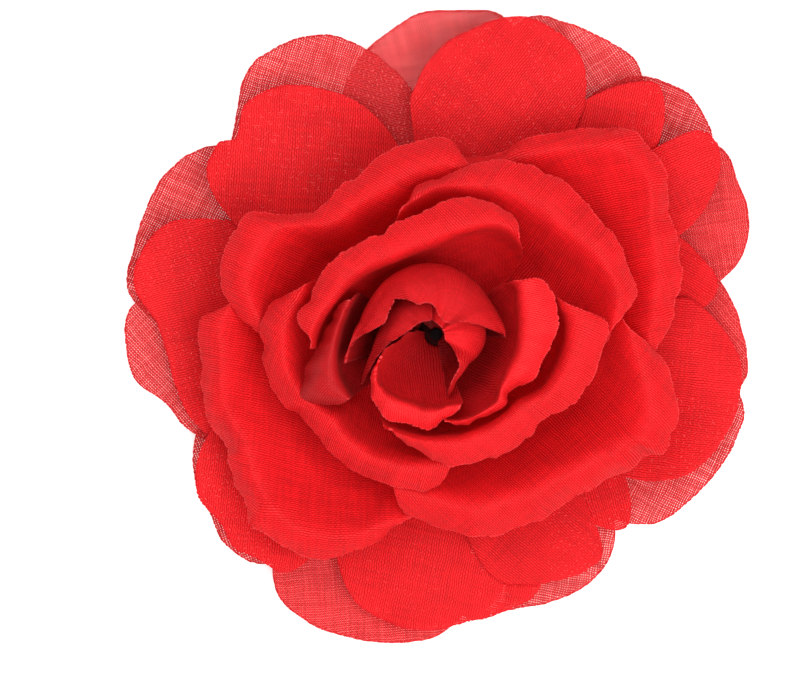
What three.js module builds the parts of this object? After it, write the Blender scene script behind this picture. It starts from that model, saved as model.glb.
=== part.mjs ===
// Fabric rose head: cloth petals in rings round a short post on a felt disc.
// Millimetres. The flat back of the disc lies on z = 0 and the bloom opens towards +Z.
// Angles are in degrees, anticlockwise from +X, seen from the front.
import * as THREE from "three";

const CLOTH = 0.3; // thickness of the petal cloth
const SEAT = 0.35; // space between the post and each petal's root
const LAYER = 1.0; // step between the under and the over petals of a flat ring
const BLOOM = 60.4; // radius of the longest petal
const DRAWN = 60.4; // radius of the longest petal in the tables below
const GROWTH = BLOOM / DRAWN; // what the tables' radii and the rings' heights are multiplied by
const FACET = { flat: 5.2, cup: 4.4, bud: 3.7, hood: 3.7 }; // width of one column of a petal's mesh
const ROWS = { flat: 5, cup: 7, hood: 7 }; // steps of a petal's mesh from root to rim
const CORNER = { flat: 0.04, cup: 0.12, hood: 0.08 }; // how far a petal's corners are rounded off

const DISC = { radius: 17, thickness: 1.6, edge: 0.4, sides: 40 };
// The post narrows upwards, and each cup ring is rooted a little higher on it than the one outside it.
const POST = { foot: 6.6, shoulder: 6.2, top: 0.7, shoulderAt: 10, topAt: 15.1, sides: 24 };

// Flat rings: height at the root, and how much higher the cloth lies at the reach radius.
const FLAT = {
  a: { low: 2.3, lift: 2.6, reach: 57 },
  b: { low: 4.3, lift: 5.4, reach: 57 },
};
const RIPPLE = { height: 0.55, waves: 11, phase: 0.6 };

// All cups and hoods share one slow rise and fall round the bloom, so that nested petals stay apart.
const SWAY = { tilt: 1.1, towards: 75, wave: 0.8, waves: 3, phase: 1.1, ripple: 0.25, ripples: 13 };

// Cup rings: height of the root, height of the rolled crest, and how far the rim drops below the crest.
const CUP = {
  cOuter: { low: 6.5, crest: 19.6, droop: 2.9, belly: 0.55, waist: 0.14 },
  cInner: { low: 7.7, crest: 23.2, droop: 3.2, belly: 0.55, waist: 0.14 },
  dOuter: { low: 8.9, crest: 27, droop: 3, belly: 0.6, waist: 0.18 },
  dInner: { low: 10.1, crest: 32, droop: 2.4, belly: 0.76, waist: 0.2 },
  bud: { low: 11.2, crest: 31.6, droop: 1.8, belly: 0.8, waist: 0.22 },
  front: { low: 14.2, crest: 31, droop: 1.8, belly: 0.8, waist: 0.22 },
};
// Hooded bud petals lean inwards: height of the root, of the widest place and of the rim. An upright
// stretch of rim keeps the least share of that last rise.
const HOOD = {
  outer: { low: 12.2, wide: 26, rim: 34.2, least: 0.25 },
  inner: { low: 13.2, wide: 24.4, rim: 32.2, least: 0.6 },
  heart: { low: 15, wide: 23.6, rim: 31, least: 0.4 },
};

// Petals of the flat rings as [angle, rim radius], from one side edge to the other.
const FLAT_PETALS = [
  ["sheer_a01", "a", 1, [[141, 47], [133, 51], [126, 56], [118, 56.9], [110, 55.2], [103, 50.3], [95, 43]]],
  ["sheer_a02", "a", 0, [[114, 43], [106, 49.3], [99, 53], [92, 55.9], [86, 56.3], [79, 56.6], [72, 53]]],
  ["sheer_a03", "a", 1, [[77.5, 54], [73, 57.8], [68, 58.5], [63, 58.7], [58, 59], [53, 58.5], [48.5, 55]]],
  ["sheer_a04", "a", 0, [[57, 51], [52.5, 56.5], [48, 58.9], [44, 60.4], [40, 60.1], [35, 58.5], [31, 53]]],
  ["sheer_a05", "a", 1, [[37.5, 57], [32.5, 59.3], [27.5, 58.8], [22, 58.2], [17, 56.6], [12.5, 53],
    [8, 47]]],
  ["sheer_a06", "a", 0, [[16, 45], [11, 49.8], [6, 51.8], [1, 53.1], [-4, 54], [-9, 54], [-14, 50]]],
  ["sheer_a07", "a", 1, [[-7.5, 52], [-14, 55.2], [-21, 55], [-27, 54.1], [-34, 52.5], [-41, 50.2],
    [-47, 45]]],
  ["sheer_a08", "a", 0, [[-42, 41], [-50, 48], [-58, 50.7], [-66, 50.6], [-75, 49.6], [-83, 49.8],
    [-90, 45]]],
  ["sheer_a09", "a", 1, [[-81, 47], [-89, 52], [-97, 53.9], [-105, 54.7], [-113, 54.7], [-121, 53],
    [-129, 46]]],
  ["sheer_a10", "a", 0, [[-121, 45], [-128, 50.6], [-135, 51.6], [-142, 50], [-149, 48.9], [-156, 46],
    [-163, 41]]],
  ["sheer_a11", "a", 1, [[-154, 44], [-160, 46.6], [-166, 48.6], [-171, 52.6], [-178, 53.8], [-185, 53.2],
    [-190, 48]]],
  ["sheer_a12", "a", 0, [[-181, 48], [-188, 54], [-196, 54.4], [-204, 54.8], [-212, 54.2], [-219, 51.5],
    [-226, 46]]],
  ["sheer_b01", "b", 1, [[152, 40], [146, 48], [139, 50.2], [135.5, 48.6], [130, 51.8], [122, 50.7],
    [115, 47], [107, 41], [99, 31]]],
  ["sheer_b02", "b", 0, [[209, 42], [198, 45.2], [188, 46.4], [178, 48.4], [171, 53], [164, 52.9],
    [157, 50], [150, 40]]],
  ["sheer_b03", "b", 1, [[96.5, 42], [90, 49], [83, 53.4], [76, 56.9], [69, 56.7], [62, 54], [57, 48],
    [55.5, 42]]],
  ["sheer_b04", "b", 0, [[60, 44], [56, 50.5], [52, 55.4], [48.5, 57.7], [44.5, 55.6], [41, 51.5],
    [37, 44]]],
  ["sheer_b05", "b", 1, [[41.5, 46], [38.5, 56.5], [34.5, 58.9], [31, 57.5], [27.5, 54.4], [24, 50],
    [20.5, 43]]],
  ["sheer_b06", "b", 0, [[27, 41], [22, 45.4], [17, 47.5], [12, 49.4], [8, 49], [2, 43]]],
  ["sheer_b07", "b", 1, [[8.5, 45], [1, 49.9], [-6, 53.2], [-14, 53.7], [-22, 52.7], [-30, 49.4],
    [-36, 43.5], [-39, 38]]],
  ["sheer_b08", "b", 0, [[-33, 37], [-38, 42.2], [-42, 45.6], [-46, 47], [-50, 43.5], [-55, 37]]],
  ["sheer_b09", "b", 1, [[-47.5, 38], [-52, 47], [-57, 48.6], [-65, 47.4], [-71, 46], [-77, 43],
    [-82.5, 34]]],
  ["sheer_b10", "b", 0, [[-61, 42], [-69, 48.3], [-78, 49.6], [-84, 50.2], [-91, 51.3], [-99, 50.8],
    [-108, 47.8], [-118, 39]]],
  ["sheer_b11", "b", 1, [[-117.5, 43], [-122, 49], [-129, 49.9], [-133, 51], [-139, 49.8], [-146, 50],
    [-153, 46.2], [-160, 40]]],
];

// Cupped petals as [angle, radius of the fold where the roll begins, radius of the rim]. Before the knots
// stand the two side edges as [share of the width, how far the rim sinks there].
const CUP_PETALS = [
  ["cup_c1", "cInner", [0.1, 0.1], [0.14, 0.3], [[182, 27, 32], [174, 30, 35.2], [165, 32.5, 38.4],
    [156, 33, 39.5], [147, 32, 38.6], [141, 28.5, 33], [132, 25, 29.6], [120, 25, 30.2], [109, 25.5, 31.9],
    [99, 26.8, 33.3], [89, 28, 34.1], [79, 28, 32.4], [72, 27.5, 30]]],
  ["cup_c2", "cOuter", [0.15, 0.4], [0.1, 0.2], [[96, 29, 31.2], [84, 29, 31.2], [75, 29.2, 31.8],
    [68, 30.5, 35], [62, 33.5, 39], [55, 38, 43.8], [47, 42.5, 48.2], [40, 44.5, 49.8], [33, 42.5, 47.6],
    [25, 39.5, 45.3], [15, 38, 44.4], [6, 36, 41.5], [-2, 35.5, 39.8], [-9, 37, 40]]],
  ["cup_c3", "cInner", [0.1, 0.2], [0.12, 0.3], [[5, 31.5, 35], [-2, 32.6, 37.4], [-10, 34.4, 41],
    [-18, 37, 44], [-25, 38, 44.6], [-31, 36, 42], [-37, 34, 40.2], [-46, 32, 37.7], [-56, 31, 37],
    [-66, 30, 36.4], [-75, 29.5, 36.4], [-83, 28.5, 35], [-92, 27, 33], [-102, 26, 31.6], [-112, 24, 28]]],
  ["cup_c4", "cOuter", [0.12, 0.2], [0.1, 0.2], [[-95, 30.5, 33], [-101, 31.5, 35], [-107, 33.5, 38.4],
    [-113, 36.5, 41.8], [-120, 38.8, 44.8], [-128, 39.8, 45.4], [-136, 39.3, 45], [-143, 38.3, 43.7],
    [-149, 36.6, 41.5], [-156, 37, 42], [-166, 37, 42.1], [-176, 36, 41], [-183, 36, 40.9],
    [-187, 35, 38.6], [-192, 34, 36.4]]],
  ["cup_d1", "dOuter", [0.2, 0.5], [0.15, 0.3], [[119, 19.8, 20.8], [113, 20.5, 21.8], [106, 21.6, 23.2],
    [99, 23, 25], [92, 24.2, 26.8], [87, 24.8, 28], [82, 25, 28.8], [74, 25.5, 31.3], [61, 26.5, 33.3],
    [51, 27, 34.6], [42, 27.5, 34.6], [34, 28.3, 34.5], [24, 30, 35.8], [16, 31, 35.9], [9, 30.5, 35.1],
    [3, 29.5, 33.3], [-6, 28, 30.5]]],
  ["cup_d2", "dInner", [0.1, 0.2], [0.2, 0.8], [[187, 21.4, 24], [179, 20.8, 24.6], [170, 19.6, 24.4],
    [161, 18.2, 23.1], [152, 17.5, 22.3], [143, 16.8, 21.9], [133, 15.9, 21.2], [121, 15, 19.8],
    [111, 14.8, 20.5], [100, 15, 20.6], [90, 15.8, 22.3], [82, 17, 24], [72, 18.9, 24.7], [62, 20.9, 24.9],
    [54, 21.6, 25], [46, 21.6, 24.2], [38, 21, 23], [30, 20.4, 22]]],
  ["cup_d3", "dOuter", [0.12, 0.4], [0.15, 0.4], [[154, 23.5, 26], [161, 23.5, 26.6], [168, 24, 28.5],
    [175, 25, 29.8], [185, 25.5, 30.3], [197, 25.5, 30.1], [205, 24.5, 29], [212, 23.5, 27.9],
    [219, 22.4, 26.5], [226, 22.8, 27.3], [235, 23, 27.8], [246, 23, 27.5], [256, 22.5, 27.5],
    [264, 22, 27], [272, 21.5, 26.2], [280, 20.8, 24.8], [287, 20.4, 23.2]]],
  ["cup_d4", "dInner", [0.12, 0.3], [0.15, 0.35], [[18, 22, 25.5], [12, 22.3, 27.3], [7, 23, 30],
    [1, 23, 30], [-6, 22.8, 29.4], [-13, 22.3, 28.6], [-20, 21.8, 27.4], [-26, 21.3, 27.1],
    [-32, 20.2, 25.6], [-39, 18.8, 23.6], [-48, 18.6, 24.5], [-58, 18.4, 24.1], [-67, 18.3, 23.7],
    [-76, 18.3, 23.4], [-84, 18.1, 23], [-93, 18, 21.7], [-101, 18, 20.4], [-110, 17.9, 19.8],
    [-124, 17.8, 19.3]]],
  ["bud_1", "bud", [0.3, 0.35], [0.05, 0.05], [[152, 15.4, 16.6], [161, 15.8, 17.5], [170, 16.2, 18.4],
    [180, 16.8, 19.6], [187, 17.4, 20.6], [194, 18, 23.2], [200, 18.4, 24.4], [205, 18.6, 25.8],
    [210, 18.6, 24], [217, 18.4, 20.5]]],
  ["bud_2", "bud", [0.1, 0.4], [0.1, 0.15], [[38, 15.2, 17.9], [31, 16.4, 20.5], [22, 15.6, 21.6],
    [10, 14.9, 21.5], [-4, 14.5, 20.3], [-15, 14.3, 19.2], [-27, 14.1, 17.8], [-39, 14.4, 16.3],
    [-48, 15.6, 17.2], [-55, 15.7, 16.8], [-62, 15.6, 16.4], [-71, 15.5, 16.5], [-79, 15.2, 16.4],
    [-85, 14.8, 15.8]]],
  ["bud_3", "front", [0.1, 0.3], [0.5, 0.62], [[-81, 12.4, 12.7], [-86, 12.9, 13.8], [-91, 13.2, 16.2],
    [-98, 13.1, 16.7], [-108, 12.8, 16.7], [-124, 13.3, 16.5], [-135, 13.3, 16], [-141, 13, 14.6],
    [-148, 12.2, 13], [-154, 11, 11.5], [-160, 9.5, 9.9], [-165, 8.2, 8.5], [-172, 6.7, 6.9],
    [-182, 4.8, 5], [-192, 4.2, 4.4]]],
];

// Hooded petals as [angle, radius of the widest place, radius of the rim], with the same two side edges.
const HOOD_PETALS = [
  ["bud_4", "outer", [0.05, 0.05], [0.1, 0.1], [[-3, 11.8, 12.4], [3, 11.9, 10], [10, 11.6, 8],
    [21, 11.2, 5.8], [35, 11, 3.6], [55, 11.3, 2.6], [75, 11.8, 3.2], [92, 12.2, 4.6], [101, 12.4, 5.3],
    [113, 12.6, 5.8], [124, 12.7, 6.6], [132, 12.7, 8], [139, 12.7, 9], [155, 12.9, 8.9], [169, 13.3, 9.2],
    [176, 13.8, 11], [182, 14.4, 13], [190, 15.2, 15.2], [198, 16.2, 16.8]]],
  ["bud_5", "inner", [0.1, 0.1], [0.05, 0.05], [[98, 8.7, 2.4], [115, 8.8, 2.5],
    [135, 9, 2.9], [160, 9.4, 3.9],
    [178, 10, 5.2], [193, 11.2, 8.5], [203, 12.8, 11.3], [209, 14.2, 13.2], [214, 15.4, 15]]],
  ["bud_6", "heart", [0.05, 0.05], [0.1, 0.1], [[-80, 10.7, 10.7], [-74, 10.4, 8.8], [-66, 10.2, 7.5],
    [-52, 10, 6.3], [-40, 9.7, 4], [-27, 9.5, 2.1], [0, 9, 1.4], [40, 8.4, 1.3], [75, 7.6, 1.6],
    [104, 7, 1.9]]],
];

const rad = THREE.MathUtils.degToRad;

// A smooth curve through knots [x, ...values], read at x: returns the value in the given column.
function along(knots, x, column) {
  const up = knots[0][0] < knots[knots.length - 1][0];
  const k = up ? knots : [...knots].reverse();
  let i = 0;
  while (i < k.length - 2 && x > k[i + 1][0]) i += 1;
  const slope = (j) => {
    const a = k[Math.max(j - 1, 0)];
    const b = k[Math.min(j + 1, k.length - 1)];
    return (b[column] - a[column]) / (b[0] - a[0]);
  };
  const [p, q] = [k[i], k[i + 1]];
  const h = q[0] - p[0];
  const t = THREE.MathUtils.clamp((x - p[0]) / h, 0, 1);
  const t2 = t * t;
  const t3 = t2 * t;
  return (
    (2 * t3 - 3 * t2 + 1) * p[column] +
    (t3 - 2 * t2 + t) * h * slope(i) +
    (3 * t2 - 2 * t3) * q[column] +
    (t3 - t2) * h * slope(i + 1)
  );
}

// Place at share s of a spline through [radius, height] points.
function onProfile(points, s) {
  const curve = new THREE.SplineCurve(points.map(([r, z]) => new THREE.Vector2(r, z)));
  return curve.getPoint(s);
}

// Every flat ring shares one gentle ripple, so its petals stay parallel where they overlap.
function flatPlace(ring, level, knots, degrees, s) {
  const rim = along(knots, degrees, 1);
  const root = POST.foot + SEAT + CLOTH;
  const r = root + (rim - root) * s;
  const share = Math.max(r - root, 0) / (ring.reach - root);
  const wave = RIPPLE.height * share * share * Math.sin(RIPPLE.waves * rad(degrees) + RIPPLE.phase);
  return new THREE.Vector2(r, ring.low + level * LAYER + ring.lift * share ** 1.6 + wave);
}

function sway(degrees, s) {
  const a = rad(degrees);
  const tilt = SWAY.tilt * Math.cos(a - rad(SWAY.towards));
  const wave = SWAY.wave * Math.sin(SWAY.waves * a + SWAY.phase);
  return s * s * (tilt + wave + SWAY.ripple * s * Math.sin(SWAY.ripples * a));
}

function cupPlace(ring, knots, degrees, s) {
  const fold = along(knots, degrees, 1);
  const rim = along(knots, degrees, 2);
  const root = postRadius(ring.low) + SEAT;
  const tall = ring.crest - ring.low;
  const points = [
    [root, ring.low],
    [root + 0.5 * (fold - root), ring.low + ring.waist * tall],
    [root + (0.5 + 0.5 * ring.belly) * (fold - root), ring.low + 0.55 * tall],
    [fold, ring.crest - 0.05 * tall],
    [0.5 * (fold + rim), ring.crest - 0.12 * ring.droop],
    [rim, ring.crest - ring.droop],
  ];
  const at = onProfile(points, s);
  return at.setY(at.y + sway(degrees, s));
}

function hoodPlace(ring, knots, degrees, s) {
  const wide = along(knots, degrees, 1);
  const rim = along(knots, degrees, 2);
  const root = postRadius(ring.low) + SEAT;
  const closed = THREE.MathUtils.clamp((wide - rim) / (6 * GROWTH), ring.least, 1);
  const top = ring.wide + closed * (ring.rim - ring.wide);
  const points = [
    [root, ring.low],
    [root + 0.62 * (wide - root), ring.low + 0.32 * (ring.wide - ring.low)],
    [wide, ring.wide],
    [rim + 0.62 * (wide - rim), ring.wide + 0.66 * (top - ring.wide)],
    [rim, top],
  ];
  const at = onProfile(points, s);
  return at.setY(at.y + sway(degrees, s));
}

function postRadius(z) {
  const { foot, shoulder, shoulderAt, top, topAt } = POST;
  if (z <= shoulderAt) return THREE.MathUtils.mapLinear(z, DISC.thickness, shoulderAt, foot, shoulder);
  return THREE.MathUtils.mapLinear(z, shoulderAt, topAt, shoulder, top);
}

// How much of the way from root to rim the cloth reaches at u: all of it, but for rounded corners and for
// side edges [width, sink] whose rim sinks.
function reachAt(u, corner, edges) {
  const side = Math.abs(2 * u - 1);
  const sunk = ([width, sink], distance) => sink * (1 - THREE.MathUtils.smoothstep(distance / width, 0, 1));
  return 1 - corner * side ** 8 - sunk(edges[0], u) - sunk(edges[1], 1 - u);
}

// A petal is a grid over (side to side, root to rim), given the cloth's thickness along its own normals.
function petalGeometry(knots, place, columns, rows, corner, edges) {
  const first = knots[0][0];
  const last = knots[knots.length - 1][0];
  const spot = (u, v) => {
    const inside = THREE.MathUtils.clamp(u, 0, 1);
    const degrees = first + (last - first) * inside;
    const at = place(degrees, THREE.MathUtils.clamp(v, 0, 1) * reachAt(inside, corner, edges));
    return new THREE.Vector3(at.x * Math.cos(rad(degrees)), at.x * Math.sin(rad(degrees)), at.y);
  };
  const front = [];
  const back = [];
  const step = 1e-3;
  for (let i = 0; i <= columns; i += 1) {
    for (let j = 0; j <= rows; j += 1) {
      const [u, v] = [i / columns, j / rows];
      const across = spot(u + step, v).sub(spot(u - step, v));
      const outwards = spot(u, v + step).sub(spot(u, v - step));
      const normal = outwards.cross(across).normalize();
      front.push(spot(u, v).addScaledVector(normal, CLOTH / 2));
      back.push(spot(u, v).addScaledVector(normal, -CLOTH / 2));
    }
  }
  return closeSheet(front, back, columns, rows);
}

// Joins a front and a back grid of points into one closed skin.
function closeSheet(front, back, columns, rows) {
  const positions = [...front, ...back].flatMap((p) => [p.x, p.y, p.z]);
  const at = (i, j) => i * (rows + 1) + j;
  const under = front.length;
  const faces = [];
  const quad = (a, b, c, d) => faces.push(a, b, c, a, c, d);
  for (let i = 0; i < columns; i += 1) {
    for (let j = 0; j < rows; j += 1) {
      quad(at(i, j), at(i, j + 1), at(i + 1, j + 1), at(i + 1, j));
      quad(under + at(i, j), under + at(i + 1, j), under + at(i + 1, j + 1), under + at(i, j + 1));
    }
  }
  const rim = [];
  for (let i = 0; i < columns; i += 1) rim.push(at(i, 0));
  for (let j = 0; j < rows; j += 1) rim.push(at(columns, j));
  for (let i = columns; i > 0; i -= 1) rim.push(at(i, rows));
  for (let j = rows; j > 0; j -= 1) rim.push(at(0, j));
  rim.forEach((a, n) => {
    const b = rim[(n + 1) % rim.length];
    quad(a, b, under + b, under + a);
  });
  const geometry = new THREE.BufferGeometry();
  geometry.setAttribute("position", new THREE.Float32BufferAttribute(positions, 3));
  geometry.setIndex(faces);
  geometry.computeVertexNormals();
  return geometry;
}

// A closed turned solid about +Z from [radius, height] points that start and end on the axis.
function turned(points, sides) {
  const geometry = new THREE.LatheGeometry(points.map(([r, z]) => new THREE.Vector2(r, z)), sides);
  return geometry.rotateX(Math.PI / 2);
}

function discGeometry() {
  const { radius, thickness, edge, sides } = DISC;
  return turned([[0, 0], [radius - edge, 0], [radius, edge], [radius, thickness - edge],
    [radius - edge, thickness], [0, thickness]], sides);
}

function postGeometry() {
  const { shoulder, top, shoulderAt, topAt, sides } = POST;
  const foot = DISC.thickness + SEAT;
  const outline = [[0, foot], [postRadius(foot), foot], [shoulder, shoulderAt], [top, topAt], [0, topAt]];
  return turned(outline, sides);
}

const rose = new THREE.Group();

function add(name, geometry, color, roughness) {
  const look = { color, roughness, metalness: 0, side: THREE.DoubleSide };
  const mesh = new THREE.Mesh(geometry, new THREE.MeshStandardMaterial(look));
  mesh.name = name;
  rose.add(mesh);
}

function spanColumns(knots, size) {
  const span = Math.abs(rad(knots[knots.length - 1][0] - knots[0][0]));
  const reach = Math.max(...knots.map((k) => k[k.length - 1]));
  return Math.max(6, Math.round((span * reach) / (size * GROWTH)));
}

// Knots and ring heights at the size of the bloom.
const grown = (knots) => knots.map(([angle, ...radii]) => [angle, ...radii.map((r) => r * GROWTH)]);
const HEIGHTS = ["low", "lift", "reach", "crest", "droop", "wide", "rim"];
function grownRing(ring) {
  const scaled = ([name, value]) => [name, HEIGHTS.includes(name) ? value * GROWTH : value];
  return Object.fromEntries(Object.entries(ring).map(scaled));
}

add("backing_disc", discGeometry(), 0x151012, 0.95);
add("core", postGeometry(), 0x120a0c, 0.9);
for (const [name, ring, level, drawn] of FLAT_PETALS) {
  const knots = grown(drawn);
  const place = (degrees, s) => flatPlace(grownRing(FLAT[ring]), level, knots, degrees, s);
  const columns = spanColumns(knots, FACET.flat);
  const straight = [[1, 0], [1, 0]];
  add(name, petalGeometry(knots, place, columns, ROWS.flat, CORNER.flat, straight),
    ring === "a" ? 0xe8403c : 0xe22a2a, 0.75);
}
for (const [name, ring, left, right, drawn] of CUP_PETALS) {
  const knots = grown(drawn);
  const place = (degrees, s) => cupPlace(grownRing(CUP[ring]), knots, degrees, s);
  const columns = spanColumns(knots, name.startsWith("bud") ? FACET.bud : FACET.cup);
  add(name, petalGeometry(knots, place, columns, ROWS.cup, CORNER.cup, [left, right]), 0xd8141c, 0.7);
}
for (const [name, ring, left, right, drawn] of HOOD_PETALS) {
  const knots = grown(drawn);
  const place = (degrees, s) => hoodPlace(grownRing(HOOD[ring]), knots, degrees, s);
  const columns = spanColumns(knots, FACET.hood);
  add(name, petalGeometry(knots, place, columns, ROWS.hood, CORNER.hood, [left, right]), 0xcc1018, 0.7);
}

export default rose;
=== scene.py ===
"""Dresses the fabric rose: woven cloth petals round a bound post on a felt disc."""

import logging
import math
from dataclasses import dataclass, field, replace
from enum import Enum
from typing import Sequence

import bmesh
import bpy
import numpy as np
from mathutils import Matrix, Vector, noise


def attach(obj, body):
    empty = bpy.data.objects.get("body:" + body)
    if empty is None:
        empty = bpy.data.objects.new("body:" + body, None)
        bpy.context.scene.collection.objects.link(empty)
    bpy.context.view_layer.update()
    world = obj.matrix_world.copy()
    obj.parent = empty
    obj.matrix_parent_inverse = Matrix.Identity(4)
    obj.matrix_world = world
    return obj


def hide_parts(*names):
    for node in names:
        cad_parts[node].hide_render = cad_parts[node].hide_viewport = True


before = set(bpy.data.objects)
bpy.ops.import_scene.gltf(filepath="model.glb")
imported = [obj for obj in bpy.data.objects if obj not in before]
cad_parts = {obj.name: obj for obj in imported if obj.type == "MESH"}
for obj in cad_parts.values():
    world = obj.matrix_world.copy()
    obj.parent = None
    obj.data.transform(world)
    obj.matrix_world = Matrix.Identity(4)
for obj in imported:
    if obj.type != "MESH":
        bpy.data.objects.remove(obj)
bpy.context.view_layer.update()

LOG = logging.getLogger("rose")
MM = 0.001
# The post's (height, radius) in mm at its foot, its shoulder and its top.
POST = ((1.6, 6.6), (10, 6.2), (15.1, 0.7))
# A petal's faces are this many times as long towards the rim as they are wide.
LONG_FACE = 1.6
# Space in mm between the post and a cup's or a hood's root.
SEAT = 0.35

Knots = Sequence[tuple[float, ...]]
Grid = np.ndarray
Colour = tuple[float, float, float]
Socket = bpy.types.NodeSocket


class Ring(Enum):
    """The rings of petals, from the back of the bloom to its middle."""

    SHEER_A = "sheer_a"
    SHEER_B = "sheer_b"
    CUP_C_OUTER = "cup_c_outer"
    CUP_C_INNER = "cup_c_inner"
    CUP_D_OUTER = "cup_d_outer"
    CUP_D_INNER = "cup_d_inner"
    BUD = "bud"
    FRONT = "front"
    HOOD_OUTER = "hood_outer"
    HOOD_INNER = "hood_inner"
    HEART = "heart"


@dataclass(frozen=True)
class Ends:
    """The two side edges of a petal: share of the width over which the rim sinks, and how far."""

    first_width: float = 1.0
    first_sink: float = 0.0
    last_width: float = 1.0
    last_sink: float = 0.0


@dataclass(frozen=True)
class Crease:
    """A soft radial crease pressed into a petal; a positive depth stands up towards its inner side.

    A positive reach draws the rim outwards there by so many mm, a negative one tucks it in.
    """

    degrees: float
    width: float
    depth: float
    start: float = 0.45
    reach: float = 0.0


# Petals of the flat rings: (angle in degrees, rim radius in mm), from one side edge to the other.
FLAT_PETALS: dict[str, tuple[Ring, int, Knots]] = {
    "sheer_a01": (Ring.SHEER_A, 1, ((141, 47), (133, 51), (126, 56), (118, 56.9), (110, 55.2),
        (103, 50.3), (95, 43))),
    "sheer_a02": (Ring.SHEER_A, 0, ((114, 43), (106, 49.3), (99, 53), (92, 55.9), (86, 56.3),
        (79, 56.6), (72, 53))),
    "sheer_a03": (Ring.SHEER_A, 1, ((77.5, 54), (73, 57.8), (68, 58.5), (63, 58.7), (58, 59),
        (53, 58.5), (48.5, 55))),
    "sheer_a04": (Ring.SHEER_A, 0, ((57, 51), (52.5, 56.5), (48, 58.9), (44, 60.4), (40, 60.1),
        (35, 58.5), (31, 53))),
    "sheer_a05": (Ring.SHEER_A, 1, ((37.5, 57), (32.5, 59.3), (27.5, 58.8), (22, 58.2), (17, 56.6),
        (12.5, 53), (8, 47))),
    "sheer_a06": (Ring.SHEER_A, 0, ((16, 45), (11, 49.8), (6, 51.8), (1, 53.1), (-4, 54), (-9, 54),
        (-14, 50))),
    "sheer_a07": (Ring.SHEER_A, 1, ((-7.5, 52), (-14, 55.2), (-21, 55), (-27, 54.1), (-34, 52.5),
        (-41, 50.2), (-47, 45))),
    "sheer_a08": (Ring.SHEER_A, 0, ((-42, 41), (-50, 48), (-58, 50.7), (-66, 50.6), (-75, 49.6),
        (-83, 49.8), (-90, 45))),
    "sheer_a09": (Ring.SHEER_A, 1, ((-81, 47), (-89, 52), (-97, 53.9), (-105, 54.7), (-113, 54.7),
        (-121, 53), (-129, 46))),
    "sheer_a10": (Ring.SHEER_A, 0, ((-121, 45), (-128, 50.6), (-135, 51.6), (-142, 50), (-149, 48.9),
        (-156, 46), (-163, 41))),
    "sheer_a11": (Ring.SHEER_A, 1, ((-154, 44), (-160, 46.6), (-166, 48.6), (-171, 52.6), (-178, 53.8),
        (-185, 53.2), (-190, 48))),
    "sheer_a12": (Ring.SHEER_A, 0, ((-181, 48), (-188, 54), (-196, 54.4), (-204, 54.8), (-212, 54.2),
        (-219, 51.5), (-226, 46))),
    "sheer_b01": (Ring.SHEER_B, 1, ((152, 40), (146, 48), (139, 50.2), (135.5, 48.6), (130, 51.8),
        (122, 50.7), (115, 47), (107, 41), (99, 31))),
    "sheer_b02": (Ring.SHEER_B, 0, ((209, 42), (198, 45.2), (188, 46.4), (178, 48.4), (171, 53),
        (164, 52.9), (157, 50), (150, 40))),
    "sheer_b03": (Ring.SHEER_B, 1, ((96.5, 42), (90, 49), (83, 53.4), (76, 56.9), (69, 56.7), (62, 54),
        (57, 48), (55.5, 42))),
    "sheer_b04": (Ring.SHEER_B, 0, ((60, 44), (56, 50.5), (52, 55.4), (48.5, 57.7), (44.5, 55.6),
        (41, 51.5), (37, 44))),
    "sheer_b05": (Ring.SHEER_B, 1, ((41.5, 46), (38.5, 56.5), (34.5, 58.9), (31, 57.5), (27.5, 54.4),
        (24, 50), (20.5, 43))),
    "sheer_b06": (Ring.SHEER_B, 0, ((27, 41), (22, 45.4), (17, 47.5), (12, 49.4), (8, 49), (2, 43))),
    "sheer_b07": (Ring.SHEER_B, 1, ((8.5, 45), (1, 49.9), (-6, 53.2), (-14, 53.7), (-22, 52.7),
        (-30, 49.4), (-36, 43.5), (-39, 38))),
    "sheer_b08": (Ring.SHEER_B, 0, ((-33, 37), (-38, 42.2), (-42, 45.6), (-46, 47), (-50, 43.5),
        (-55, 37))),
    "sheer_b09": (Ring.SHEER_B, 1, ((-47.5, 38), (-52, 47), (-57, 48.6), (-65, 47.4), (-71, 46),
        (-77, 43), (-82.5, 34))),
    "sheer_b10": (Ring.SHEER_B, 0, ((-61, 42), (-69, 48.3), (-78, 49.6), (-84, 50.2), (-91, 51.3),
        (-99, 50.8), (-108, 47.8), (-118, 39))),
    "sheer_b11": (Ring.SHEER_B, 1, ((-117.5, 43), (-122, 49), (-129, 49.9), (-133, 51), (-139, 49.8),
        (-146, 50), (-153, 46.2), (-160, 40))),
}

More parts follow.
